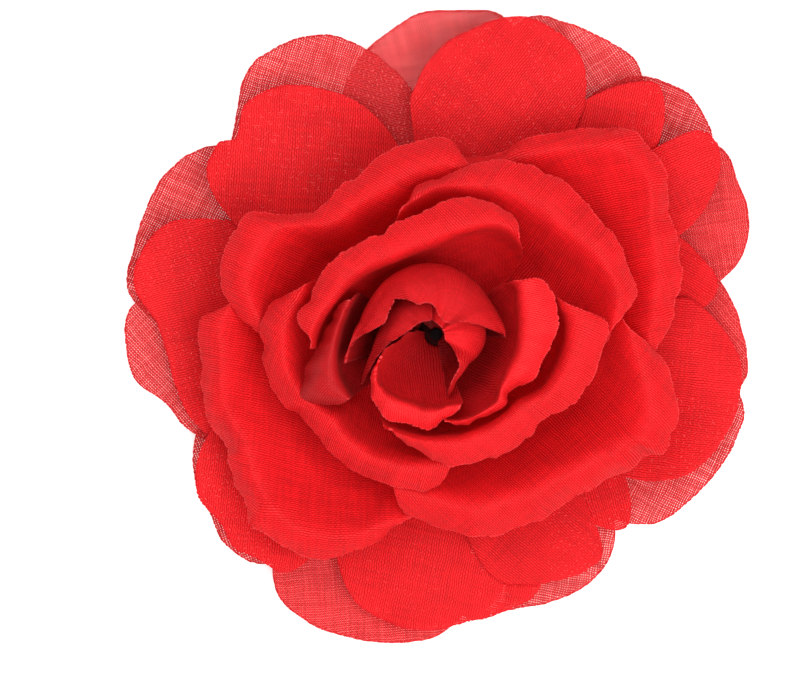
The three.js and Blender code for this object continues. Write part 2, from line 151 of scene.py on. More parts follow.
# Cupped petals: the two side edges as (share of the width, how far the rim sinks there), then
# (angle, radius of the fold where the roll begins, radius of the rim).
CUP_PETALS: dict[str, tuple[Ring, Ends, Knots]] = {
    "cup_c1": (Ring.CUP_C_INNER, Ends(0.1, 0.1, 0.14, 0.3), ((182, 27, 32), (174, 30, 35.2),
        (165, 32.5, 38.4), (156, 33, 39.5), (147, 32, 38.6), (141, 28.5, 33), (132, 25, 29.6),
        (120, 25, 30.2), (109, 25.5, 31.9), (99, 26.8, 33.3), (89, 28, 34.1), (79, 28, 32.4),
        (72, 27.5, 30))),
    "cup_c2": (Ring.CUP_C_OUTER, Ends(0.15, 0.4, 0.1, 0.2), ((96, 29, 31.2), (84, 29, 31.2),
        (75, 29.2, 31.8), (68, 30.5, 35), (62, 33.5, 39), (55, 38, 43.8), (47, 42.5, 48.2),
        (40, 44.5, 49.8), (33, 42.5, 47.6), (25, 39.5, 45.3), (15, 38, 44.4), (6, 36, 41.5),
        (-2, 35.5, 39.8), (-9, 37, 40))),
    "cup_c3": (Ring.CUP_C_INNER, Ends(0.1, 0.2, 0.12, 0.3), ((5, 31.5, 35), (-2, 32.6, 37.4),
        (-10, 34.4, 41), (-18, 37, 44), (-25, 38, 44.6), (-31, 36, 42), (-37, 34, 40.2),
        (-46, 32, 37.7), (-56, 31, 37), (-66, 30, 36.4), (-75, 29.5, 36.4), (-83, 28.5, 35),
        (-92, 27, 33), (-102, 26, 31.6), (-112, 24, 28))),
    "cup_c4": (Ring.CUP_C_OUTER, Ends(0.12, 0.2, 0.1, 0.2), ((-95, 30.5, 33), (-101, 31.5, 35),
        (-107, 33.5, 38.4), (-113, 36.5, 41.8), (-120, 38.8, 44.8), (-128, 39.8, 45.4),
        (-136, 39.3, 45), (-143, 38.3, 43.7), (-149, 36.6, 41.5), (-156, 37, 42), (-166, 37, 42.1),
        (-176, 36, 41), (-183, 36, 40.9), (-187, 35, 38.6), (-192, 34, 36.4))),
    "cup_d1": (Ring.CUP_D_OUTER, Ends(0.2, 0.5, 0.15, 0.3), ((119, 19.8, 20.8), (113, 20.5, 21.8),
        (106, 21.6, 23.2), (99, 23, 25), (92, 24.2, 26.8), (87, 24.8, 28), (82, 25, 28.8),
        (74, 25.5, 31.3), (61, 26.5, 33.3), (51, 27, 34.6), (42, 27.5, 34.6), (34, 28.3, 34.5),
        (24, 30, 35.8), (16, 31, 35.9), (9, 30.5, 35.1), (3, 29.5, 33.3), (-6, 28, 30.5))),
    "cup_d2": (Ring.CUP_D_INNER, Ends(0.1, 0.2, 0.2, 0.8), ((187, 21.4, 24), (179, 20.8, 24.6),
        (170, 19.6, 24.4), (161, 18.2, 23.1), (152, 17.5, 22.3), (143, 16.8, 21.9), (133, 15.9, 21.2),
        (121, 15, 19.8), (111, 14.8, 20.5), (100, 15, 20.6), (90, 15.8, 22.3), (82, 17, 24),
        (72, 18.9, 24.7), (62, 20.9, 24.9), (54, 21.6, 25), (46, 21.6, 24.2), (38, 21, 23),
        (30, 20.4, 22))),
    "cup_d3": (Ring.CUP_D_OUTER, Ends(0.12, 0.4, 0.15, 0.4), ((154, 23.5, 26), (161, 23.5, 26.6),
        (168, 24, 28.5), (175, 25, 29.8), (185, 25.5, 30.3), (197, 25.5, 30.1), (205, 24.5, 29),
        (212, 23.5, 27.9), (219, 22.4, 26.5), (226, 22.8, 27.3), (235, 23, 27.8), (246, 23, 27.5),
        (256, 22.5, 27.5), (264, 22, 27), (272, 21.5, 26.2), (280, 20.8, 24.8), (287, 20.4, 23.2))),
    "cup_d4": (Ring.CUP_D_INNER, Ends(0.12, 0.3, 0.15, 0.35), ((18, 22, 25.5), (12, 22.3, 27.3),
        (7, 23, 30), (1, 23, 30), (-6, 22.8, 29.4), (-13, 22.3, 28.6), (-20, 21.8, 27.4),
        (-26, 21.3, 27.1), (-32, 20.2, 25.6), (-39, 18.8, 23.6), (-48, 18.6, 24.5), (-58, 18.4, 24.1),
        (-67, 18.3, 23.7), (-76, 18.3, 23.4), (-84, 18.1, 23), (-93, 18, 21.7), (-101, 18, 20.4),
        (-110, 17.9, 19.8), (-124, 17.8, 19.3))),
    "bud_1": (Ring.BUD, Ends(0.3, 0.35, 0.05, 0.05), ((152, 15.4, 16.6), (161, 15.8, 17.5),
        (170, 16.2, 18.4), (180, 16.8, 19.6), (187, 17.4, 20.6), (194, 18, 23.2), (200, 18.4, 24.4),
        (205, 18.6, 25.8), (210, 18.6, 24), (217, 18.4, 20.5))),
    "bud_2": (Ring.BUD, Ends(0.1, 0.4, 0.1, 0.15), ((38, 15.2, 17.9), (31, 16.4, 20.5),
        (22, 15.6, 21.6), (10, 14.9, 21.5), (-4, 14.5, 20.3), (-15, 14.3, 19.2), (-27, 14.1, 17.8),
        (-39, 14.4, 16.3), (-48, 15.6, 17.2), (-55, 15.7, 16.8), (-62, 15.6, 16.4), (-71, 15.5, 16.5),
        (-79, 15.2, 16.4), (-85, 14.8, 15.8))),
    "bud_3": (Ring.FRONT, Ends(0.1, 0.3, 0.5, 0.62), ((-68, 12.9, 14.2), (-74, 12.7, 14.2),
        (-81, 12.5, 14.6), (-86, 12.8, 15.4), (-91, 13, 16.3), (-98, 13.1, 16.7), (-108, 12.8, 16.7),
        (-124, 13.3, 16.5), (-135, 13.3, 16), (-141, 13, 14.6), (-148, 12.2, 13), (-154, 11, 11.5),
        (-160, 9.5, 9.9), (-165, 8.2, 8.5), (-172, 6.7, 6.9), (-182, 4.8, 5), (-192, 4.2, 4.4))),
}

# Hooded petals: their side edges, then (angle, radius of the widest place, radius of the rim).
HOOD_PETALS: dict[str, tuple[Ring, Ends, Knots]] = {
    "bud_4": (Ring.HOOD_OUTER, Ends(0.05, 0.05, 0.1, 0.1), ((-3, 11.8, 12.4), (3, 11.9, 10),
        (10, 11.6, 8), (21, 11.2, 5.8), (35, 11, 3.6), (55, 11.3, 2.6), (75, 11.8, 3.2),
        (92, 12.2, 4.6), (101, 12.4, 5.3), (113, 12.6, 5.8), (124, 12.7, 6.6), (132, 12.7, 8),
        (139, 12.7, 9), (155, 12.9, 8.9), (169, 13.3, 9.2), (176, 13.8, 11), (182, 14.4, 13),
        (190, 15.2, 15.2), (198, 16.2, 16.8))),
    "bud_5": (Ring.HOOD_INNER, Ends(0.1, 0.1, 0.05, 0.05), ((98, 8.7, 2.4), (115, 8.8, 2.5),
        (135, 9, 2.9), (160, 9.4, 3.9), (178, 10, 5.2), (193, 11.2, 8.5), (203, 12.8, 11.3),
        (209, 14.2, 13.2), (214, 15.4, 15))),
    "bud_6": (Ring.HEART, Ends(0.05, 0.05, 0.1, 0.1), ((-80, 11, 10.9), (-74, 9.9, 8.9),
        (-66, 8.6, 7.6), (-52, 7.9, 6.3), (-40, 7.7, 4), (-27, 8.2, 2.1), (0, 8.6, 1.4), (40, 8.4, 1.3),
        (75, 7.8, 1.6), (100, 7.5, 2.2), (120, 7.6, 3.8), (138, 7.8, 5.4))),
}

CREASES: dict[str, tuple[Crease, ...]] = {
    "cup_c1": (
        Crease(126, 5, -0.9, 0.5), Crease(144.5, 2.2, 0.9, 0.6, 1.4), Crease(166, 7, -0.5),
        Crease(106, 5, -0.4), Crease(136, 2.5, 0.3, 0.6, -0.8), Crease(121, 2.5, 0.4, 0.7, 0.9),
        Crease(151, 3, 0.2, 0.6, -0.6),
    ),
    "cup_c2": (
        Crease(47, 2.2, -0.9, 0.5, -0.4), Crease(40, 3, 0.7, 0.5, -0.5), Crease(35, 1.6, -0.7, 0.6, 0.5),
        Crease(54, 4, 0.5, 0.5), Crease(28, 2, 0.6, 0.6), Crease(23, 2.4, -0.7, 0.5, -0.4),
        Crease(17, 2, 0.5, 0.6), Crease(10, 2.6, 0.6, 0.55, 0.6), Crease(4, 2, -0.6, 0.6),
        Crease(66, 3, -0.5, 0.6),
    ),
    "cup_c3": (
        Crease(-27, 1.6, -1.1, 0.55), Crease(-23.5, 1.5, 0.8, 0.55), Crease(-31, 1.7, 0.9, 0.5, 0.5),
        Crease(-34.5, 1.5, -0.8, 0.55, -0.6), Crease(-39, 2, 0.6, 0.6), Crease(-45, 2.2, -0.6, 0.6, -0.4),
        Crease(-52, 2.5, 0.6, 0.6, 0.6), Crease(-60, 2.2, -0.7, 0.6), Crease(-70, 3, 0.6, 0.6, 0.7),
        Crease(-79, 2.5, -0.5, 0.6, -0.5), Crease(-88, 3, 0.5, 0.6), Crease(-18, 2, -0.5, 0.6),
    ),
    "cup_c4": (
        Crease(-134, 2.2, -1.0, 0.5), Crease(-139, 3, 0.6, 0.5), Crease(-148.5, 2, -0.9, 0.6, -0.7),
        Crease(-119, 3, 0.6, 0.6), Crease(-126, 2, -0.5, 0.6, -0.3), Crease(-155, 2.6, 0.5, 0.6, 0.4),
        Crease(-163, 2, -0.6, 0.6, -0.6), Crease(-171, 2.6, 0.6, 0.6, 0.4),
        Crease(-180, 2.4, -0.5, 0.6, -0.5),
    ),
    "cup_d1": (
        Crease(68, 2.6, -0.7, 0.6), Crease(56, 2.2, 0.7, 0.6), Crease(50, 2, -0.5, 0.6, -0.4),
        Crease(88, 4, 0.4), Crease(41, 2.6, 0.6, 0.6, 0.4), Crease(30, 2.2, -0.6, 0.6),
        Crease(20, 2.6, 0.5, 0.6),
    ),
    "cup_d2": (
        Crease(148, 3, -0.5, 0.6), Crease(137, 2.4, 0.5, 0.6), Crease(118, 2.2, -0.7, 0.6, -0.7),
        Crease(110, 2.6, 0.5, 0.6, 0.5), Crease(100, 3, -0.4, 0.6), Crease(165, 3, 0.4, 0.6),
        Crease(84, 3, 0.4, 0.6),
    ),
    "cup_d3": (
        Crease(219, 2.4, -0.7, 0.6, -0.5), Crease(200, 3, 0.5, 0.6), Crease(210, 2, 0.4, 0.6),
        Crease(250, 3, 0.5, 0.6), Crease(234, 2.4, 0.5, 0.6, 0.4), Crease(180, 3, -0.4, 0.6),
        Crease(265, 2.4, -0.5, 0.6),
    ),
    "cup_d4": (
        Crease(-38, 2.4, -0.8, 0.6, -0.5), Crease(-28, 2.4, 0.6, 0.6), Crease(-16, 2.6, -0.5, 0.6, -0.3),
        Crease(-5, 2.6, 0.5, 0.6), Crease(-50, 2.6, 0.6, 0.6, 0.4), Crease(-64, 2.4, -0.5, 0.6),
        Crease(-78, 3, 0.4, 0.6), Crease(-92, 3, -0.4, 0.6),
    ),
    "bud_1": (Crease(172, 3, 0.4, 0.6), Crease(186, 2.6, -0.5, 0.6, -0.5), Crease(197, 2.4, 0.4, 0.6, 0.5)),
    "bud_2": (
        Crease(-20, 5, -0.3), Crease(25, 8, 0.3), Crease(-45, 2.6, -0.5, 0.6, -0.5),
        Crease(-56, 3, 0.4, 0.6, 0.4), Crease(-70, 3, -0.3, 0.6),
    ),
    "bud_3": (Crease(-100, 6, 0.35), Crease(-122, 6, -0.35)),
    "bud_4": (Crease(140, 4, 0.5, 0.6), Crease(118, 7, -0.4, 0.6), Crease(40, 10, -0.4, 0.7)),
}


# Cupped petals whose rim hangs lower than that of their ring, in mm.
DROOPS = {"bud_1": 4.2}
# Back petals of a closer cloth than the others.
CLOSE_WOVEN = ("sheer_a05", "sheer_a06", "sheer_a09")


@dataclass(frozen=True)
class FlatRing:
    """Heights of a flat ring in mm: at its root, and how far it lifts at the reach radius.

    The ripple, with its height, its number of waves and its phase, is the same for all flat rings.
    """

    low: float
    lift: float
    reach: float
    root: float = 7.25
    ripple: float = 0.55
    ripples: int = 11
    phase: float = 0.6


@dataclass(frozen=True)
class CupRing:
    """Heights of a cup ring in mm, and how full its wall is."""

    low: float
    crest: float
    droop: float
    belly: float
    waist: float


@dataclass(frozen=True)
class HoodRing:
    """Heights of an inward-leaning ring in mm, and the least share of the last rise that a rim keeps."""

    low: float
    wide: float
    rim: float
    least: float


FLATS = {
    Ring.SHEER_A: FlatRing(2.3, 2.6, 57),
    Ring.SHEER_B: FlatRing(4.3, 5.4, 57),
}
CUPS = {
    Ring.CUP_C_OUTER: CupRing(6.5, 19.6, 2.9, 0.55, 0.14),
    Ring.CUP_C_INNER: CupRing(7.7, 23.2, 3.2, 0.55, 0.14),
    Ring.CUP_D_OUTER: CupRing(8.9, 27, 3, 0.6, 0.18),
    Ring.CUP_D_INNER: CupRing(10.1, 32, 2.4, 0.76, 0.2),
    Ring.BUD: CupRing(11.2, 31.6, 1.8, 0.8, 0.22),
    Ring.FRONT: CupRing(14.2, 31, 1.0, 0.8, 0.22),
}
HOODS = {
    Ring.HOOD_OUTER: HoodRing(12.2, 26, 34.2, 0.25),
    Ring.HOOD_INNER: HoodRing(13.2, 24.4, 32.2, 0.6),
    Ring.HEART: HoodRing(15, 23.6, 31, 0.4),
}


class Curve:
    """A smooth curve through knots, read at any angle."""

    def __init__(self, knots: Knots, column: int) -> None:
        """Keeps the knots in rising order of angle.

        Args:
            knots: the petal's knots.
            column: which value of each knot the curve runs through.
        """
        rows = sorted(knots, key=lambda k: k[0])
        self.x = np.array([k[0] for k in rows], float)
        self.y = np.array([k[column] for k in rows], float)
        place = np.arange(len(rows))
        before, after = np.maximum(place - 1, 0), np.minimum(place + 1, len(rows) - 1)
        self.slope = (self.y[after] - self.y[before]) / (self.x[after] - self.x[before])

    def at(self, x: Grid) -> Grid:
        """Reads the curve.

        Args:
            x: angles in degrees.

        Returns:
            The curve's value at each angle.
        """
        i = np.clip(np.searchsorted(self.x, x, side="left") - 1, 0, len(self.x) - 2)
        h = self.x[i + 1] - self.x[i]
        t = np.clip((x - self.x[i]) / h, 0, 1)
        start = (2 * t**3 - 3 * t**2 + 1) * self.y[i] + (t**3 - 2 * t**2 + t) * h * self.slope[i]
        return start + (3 * t**2 - 2 * t**3) * self.y[i + 1] + (t**3 - t**2) * h * self.slope[i + 1]


def spline(values: Sequence[Grid], share: Grid) -> Grid:
    """A smooth curve through values.

    Args:
        values: one array for each knot, with one value per grid point.
        share: how far along the curve each grid point is, 0 to 1.

    Returns:
        The curve's value at each grid point.
    """
    stack = np.stack([np.broadcast_to(v, share.shape) for v in values])
    place = share * (len(values) - 1)
    whole = np.clip(np.floor(place).astype(int), 0, len(values) - 2)
    t = place - whole
    a, b, c, d = (
        np.take_along_axis(stack, np.clip(whole + k, 0, len(values) - 1)[None], 0)[0] for k in (-1, 0, 1, 2)
    )
    v0, v1 = (c - a) / 2, (d - b) / 2
    return (2 * b - 2 * c + v0 + v1) * t**3 + (-3 * b + 3 * c - 2 * v0 - v1) * t**2 + v0 * t + b


def post_radius(z: float) -> float:
    """Radius of the bound post.

    Args:
        z: height in mm.

    Returns:
        The radius in mm.
    """
    (foot, foot_radius), (shoulder, shoulder_radius), (top, top_radius) = POST
    if z <= shoulder:
        return foot_radius + (shoulder_radius - foot_radius) * (z - foot) / (shoulder - foot)
    return shoulder_radius + (top_radius - shoulder_radius) * (z - shoulder) / (top - shoulder)


@dataclass(frozen=True)
class Sway:
    """The slow rise and fall that all cups and hoods share, so nested petals stay apart. Heights in mm."""

    tilt: float = 1.1
    towards: float = 75
    wave: float = 0.8
    waves: int = 3
    phase: float = 1.1
    ripple: float = 0.25
    ripples: int = 13

    def at(self, degrees: Grid, share: Grid) -> Grid:
        """The rise at each place.

        Args:
            degrees: angles round the bloom.
            share: how far each place lies from root to rim, 0 to 1.

        Returns:
            The rise in mm.
        """
        a = np.radians(degrees)
        tilt = self.tilt * np.cos(a - math.radians(self.towards))
        wave = self.wave * np.sin(self.waves * a + self.phase)
        return share**2 * (tilt + wave + self.ripple * share * np.sin(self.ripples * a))


SWAY = Sway()


def smooth(x: Grid) -> Grid:
    """The smooth step from 0 to 1."""
    t = np.clip(x, 0, 1)
    return t * t * (3 - 2 * t)


def waves(x: Grid, y: Grid, seed: float) -> Grid:
    """Smooth noise from -1 to 1 at the places (x, y)."""
    flat = [noise.noise(Vector((a, b, seed))) for a, b in zip(x.ravel(), y.ravel())]
    return np.array(flat).reshape(x.shape)


@dataclass(frozen=True)
class Run:
    """Lengths in mm over which a petal's irregularities run: along its rim, and from rim to root."""

    rim_fade: float = 3.5
    flutter: tuple[float, float] = (4.5, 14)
    quiver: tuple[float, float] = (2.0, 7)
    fold: tuple[float, float] = (5.5, 22)
    crumple: tuple[float, float] = (2.2, 2.8)
    wavy_cut: tuple[float, float] = (3.6, 3)
    ragged_cut: tuple[float, float] = (1.1, 0.9)


RUN = Run()


@dataclass
class Petal:
    """One cut petal of cloth, as a fine grid from side to side and from root to rim."""

    name: str
    knots: Knots
    weave: float
    seed: float
    ends: Ends = Ends()
    flutter: float = 0.3
    scallop: float = 0.3
    folds: float = 0.25
    crumple: float = 0.07
    step: float = 0.5
    corner: float = 0.04
    thickness: float = 0.12
    columns: tuple[int, int] = (40, 170)
    rows: tuple[int, int] = (24, 60)
    flat_size: tuple[float, ...] = field(default=(0.0, 0.0), init=False)
    flat_area: float = field(default=0.0, init=False)

    def place(self, degrees: Grid, share: Grid) -> tuple[Grid, Grid]:
        """Radius and height in mm of the cloth's middle; each kind of petal gives its own."""
        raise NotImplementedError

    def spots(self, u: Grid, v: Grid) -> tuple[Grid, Grid, Grid]:
        """Places points on the plain petal, before any irregularity.

        Args:
            u: share of the way from the first side edge to the last.
            v: share of the way from root to rim.

        Returns:
            Points in mm, their angles in degrees, and their shares of the profile from root to full rim.
        """
        first, last = self.knots[0][0], self.knots[-1][0]
        degrees = first + (last - first) * u
        sunk = self.ends.first_sink * (1 - smooth(u / self.ends.first_width))
        sunk = sunk + self.ends.last_sink * (1 - smooth((1 - u) / self.ends.last_width))
        share = v * (1 - self.corner * np.abs(2 * u - 1) ** 8 - sunk)
        r, z = self.place(degrees, share)
        a = np.radians(degrees)
        return np.stack([r * np.cos(a), r * np.sin(a), z], -1), degrees, share

    def surface(self) -> tuple[Grid, Grid, Grid]:
        """The whole fine surface.

        Returns:
            Points in mm, flat cloth coordinates in mm, and for each point its distance to the cut edge and
            its place along the rim in mm.
        """
        rough, _, _ = self.spots(*np.meshgrid(np.linspace(0, 1, 33), np.linspace(0, 1, 17), indexing="ij"))
        width = np.linalg.norm(np.diff(rough, axis=0), axis=2).sum(0).max()
        length = np.linalg.norm(np.diff(rough, axis=1), axis=2).sum(1).max()
        columns = int(np.clip(round(width / self.step), *self.columns))
        rows = int(np.clip(round(length / (self.step * LONG_FACE)), *self.rows))
        u, v = np.meshgrid(np.linspace(0, 1, columns + 1), np.linspace(0, 1, rows + 1), indexing="ij")
        points, degrees, share = self.spots(u, v)
        out, across = np.gradient(points, axis=1), np.gradient(points, axis=0)
        normal = np.cross(out, across)
        if self.knots[0][0] < self.knots[-1][0]:
            normal = -normal
        normal /= np.maximum(np.linalg.norm(normal, axis=2, keepdims=True), 1e-9)
        out /= np.maximum(np.linalg.norm(out, axis=2, keepdims=True), 1e-9)
        down = np.cumsum(np.linalg.norm(np.diff(points, axis=1), axis=2), 1)
        down = np.concatenate([np.zeros((columns + 1, 1)), down], 1)
        side = np.cumsum(np.linalg.norm(np.diff(points, axis=0), axis=2), 0)
        side = np.concatenate([np.zeros((1, rows + 1)), side], 0)
        to_rim = down[:, -1:] - down
        edge = np.minimum(to_rim, np.minimum(side, side[-1:] - side))
        rim_at = np.repeat(side[:, -1:], rows + 1, axis=1)

        lift = self.flutter * np.exp(-to_rim / RUN.rim_fade) * (
            waves(rim_at / RUN.flutter[0], to_rim / RUN.flutter[1], self.seed)
            + 0.5 * waves(rim_at / RUN.quiver[0], to_rim / RUN.quiver[1], self.seed + 7)
        )
        lift = lift + self.folds * share**1.5 * waves(rim_at / RUN.fold[0], down / RUN.fold[1], self.seed + 3)
        lift = lift + self.crumple * waves(side / RUN.crumple[0], down / RUN.crumple[1], self.seed + 5)
        for crease in CREASES.get(self.name, ()):
            near = np.exp(-(((degrees - crease.degrees) / crease.width) ** 2))
            outer = smooth((share - crease.start) / (1 - crease.start))
            lift = lift + crease.depth * near * outer
            points = points + out * (crease.reach * near * outer)[..., None]
        points = points + normal * lift[..., None]
        wavy, ragged = RUN.wavy_cut, RUN.ragged_cut
        pull = waves(rim_at / wavy[0], rim_at * 0, self.seed + 11) * np.exp(-to_rim / wavy[1])
        tooth = waves(rim_at / ragged[0], rim_at * 0, self.seed + 17)
        pull = pull + 0.45 * tooth * np.exp(-to_rim / ragged[1])
        points = points + out * (self.scallop * pull)[..., None]

        radius = float(np.hypot(points[:, 0, 0], points[:, 0, 1]).mean()) + down
        across, along = np.diff(points, axis=0)[:, :-1], np.diff(points, axis=1)[:-1]
        quads = np.linalg.norm(np.cross(across, along), axis=2)
        rings = np.diff(radius, axis=1) * (radius[:, 1:] + radius[:, :-1]) / 2
        angle = (u - 0.5) * float(quads.sum() / rings.sum(1).mean())
        cloth = np.stack([radius * np.sin(angle), radius * np.cos(angle)], -1)
        self.flat_size = tuple(float(size) * MM for size in np.ptp(cloth.reshape(-1, 2), axis=0))
        self.flat_area = float(quads.sum()) * MM * MM
        c, s = math.cos(math.radians(self.weave)), math.sin(math.radians(self.weave))
        turned = [cloth[..., 0] * c - cloth[..., 1] * s, cloth[..., 0] * s + cloth[..., 1] * c]
        return points, np.stack(turned, -1), np.stack([edge, rim_at], -1)

    def build(self) -> bpy.types.Object:
        """Makes the petal's mesh with its two maps, and gives it the cloth's thickness.

        Returns:
            The finished piece.
        """
        points, cloth, edges = self.surface()
        columns, rows = points.shape[0] - 1, points.shape[1] - 1
        bm = bmesh.new()
        bmesh.ops.create_grid(bm, x_segments=columns, y_segments=rows, size=0.5)
        cloth_map = bm.loops.layers.uv.new("Cloth")
        edge_map = bm.loops.layers.uv.new("Edge")
        share = {vert: (vert.co.x + 0.5, vert.co.y + 0.5) for vert in bm.verts}
        at = {vert: (round(x * columns), round(y * rows)) for vert, (x, y) in share.items()}
        for vert, place in at.items():
            vert.co = Vector(points[place]) * MM
        for face in bm.faces:
            face.smooth = True
            for loop in face.loops:
                loop[cloth_map].uv = cloth[at[loop.vert]]
                loop[edge_map].uv = edges[at[loop.vert]]
        bm.normal_update()
        if sum(face.normal.z * face.calc_area() for face in bm.faces) < 0:
            bmesh.ops.reverse_faces(bm, faces=bm.faces)
        mesh = bpy.data.meshes.new(self.name + "_cloth")
        bm.to_mesh(mesh)
        bm.free()
        piece = bpy.data.objects.new(self.name + "_cloth", mesh)
        bpy.context.scene.collection.objects.link(piece)
        solid = piece.modifiers.new("Thickness", "SOLIDIFY")
        solid.thickness = self.thickness * MM
        solid.offset = 0
        return piece


@dataclass
class FlatPetal(Petal):
    """A petal of a flat, sheer ring."""

    ring: FlatRing = FLATS[Ring.SHEER_A]
    level: int = 0

    def place(self, degrees: Grid, share: Grid) -> tuple[Grid, Grid]:
        """Places the cloth's middle along a flat ring.

        Args:
            degrees: angles round the bloom.
            share: how far each place lies from root to rim, 0 to 1.

        Returns:
            Radius and height in mm.
        """
        ring = self.ring
        r = ring.root + (Curve(self.knots, 1).at(degrees) - ring.root) * share
        out = np.maximum(r - ring.root, 0) / (ring.reach - ring.root)
        wave = ring.ripple * out**2 * np.sin(ring.ripples * np.radians(degrees) + ring.phase)
        return r, ring.low + self.level + ring.lift * out**1.6 + wave


@dataclass
class CupPetal(Petal):
    """A cupped petal whose rim rolls outwards."""

    ring: CupRing = CUPS[Ring.BUD]

    def place(self, degrees: Grid, share: Grid) -> tuple[Grid, Grid]:
        """Places the cloth's middle along root, belly, fold, crest and rim.

        Args:
            degrees: angles round the bloom.
            share: how far each place lies from root to rim, 0 to 1.

        Returns:
            Radius and height in mm.
        """
        ring = self.ring
        fold, rim = Curve(self.knots, 1).at(degrees), Curve(self.knots, 2).at(degrees)
        root = post_radius(ring.low) + SEAT
        tall = ring.crest - ring.low
        wide = fold - root
        belly = root + (0.5 + 0.5 * ring.belly) * wide
        radii = [root, root + 0.5 * wide, belly, fold, 0.5 * (fold + rim), rim]
        heights = [
            ring.low,
            ring.low + ring.waist * tall,
            ring.low + 0.55 * tall,
            ring.crest - 0.05 * tall,
            ring.crest - 0.12 * ring.droop,
            ring.crest - ring.droop,
        ]
        return spline(radii, share), spline(heights, share) + SWAY.at(degrees, share)


@dataclass
class HoodPetal(Petal):
    """A bud petal that leans inwards."""

    ring: HoodRing = HOODS[Ring.HOOD_OUTER]

    def place(self, degrees: Grid, share: Grid) -> tuple[Grid, Grid]:
        """Places the cloth's middle along root, widest place and rim.

        Args:
            degrees: angles round the bloom.
            share: how far each place lies from root to rim, 0 to 1.

        Returns:
            Radius and height in mm.
        """
        ring = self.ring
        wide, rim = Curve(self.knots, 1).at(degrees), Curve(self.knots, 2).at(degrees)
        root = post_radius(ring.low) + SEAT
        top = ring.wide + np.clip((wide - rim) / 6, ring.least, 1) * (ring.rim - ring.wide)
        radii = [root, root + 0.62 * (wide - root), wide, rim + 0.62 * (wide - rim), rim]
        heights = [
            ring.low,
            ring.low + 0.32 * (ring.wide - ring.low),
            ring.wide,
            ring.wide + 0.66 * (top - ring.wide),
            top,
        ]
        return spline(radii, share), spline(heights, share) + SWAY.at(degrees, share)


class Shader:
    """A small helper that adds nodes to one material."""

    def __init__(self, name: str) -> None:
        """Starts an empty material.

        Args:
            name: the material's name.
        """
        self.material = bpy.data.materials.new(name)
        self.material.use_nodes = True
        self.tree = self.material.node_tree
        self.tree.nodes.clear()
        self.output = self.tree.nodes.new("ShaderNodeOutputMaterial")

    def node(
        self, kind: str, inputs: dict[str | int, object] | None = None, **settings: object
    ) -> bpy.types.Node:
        """Adds a node.

        Args:
            kind: the node's type without its ShaderNode prefix.
            inputs: values or output sockets for its inputs, by name or number.
            settings: the node's own settings.

        Returns:
            The new node.
        """
        made = self.tree.nodes.new("ShaderNode" + kind)
        for key, value in settings.items():
            setattr(made, key, value)
        for key, value in (inputs or {}).items():
            if isinstance(value, Socket):
                self.tree.links.new(value, made.inputs[key])
            else:
                made.inputs[key].default_value = value
        return made

    def math(self, operation: str, *values: object) -> Socket:
        """A Math node's result."""
        return self.node("Math", dict(enumerate(values)), operation=operation).outputs[0]

    def ramp(
        self, value: object, low: float, high: float, start: float = 0, end: float = 1
    ) -> Socket:
        """A value mapped smoothly from the range low to high to the range start to end, and clamped."""
        inputs = {0: value, 1: low, 2: high, 3: start, 4: end}
        return self.node("MapRange", inputs, interpolation_type="SMOOTHSTEP").outputs[0]

    def mix(self, share: object, a: object, b: object) -> Socket:
        """Two colours mixed by share."""
        return self.node("Mix", {0: share, 6: a, 7: b}, data_type="RGBA").outputs[2]

    def noise(self, vector: object, scale: float, detail: float = 2.0) -> Socket:
        """A Noise Texture's value."""
        return self.node("TexNoise", {"Vector": vector, "Scale": scale, "Detail": detail}).outputs["Fac"]

    def finish(self, surface: Socket) -> bpy.types.Material:
        """Links the surface to the output and gives back the material."""
        self.tree.links.new(surface, self.output.inputs["Surface"])
        return self.material


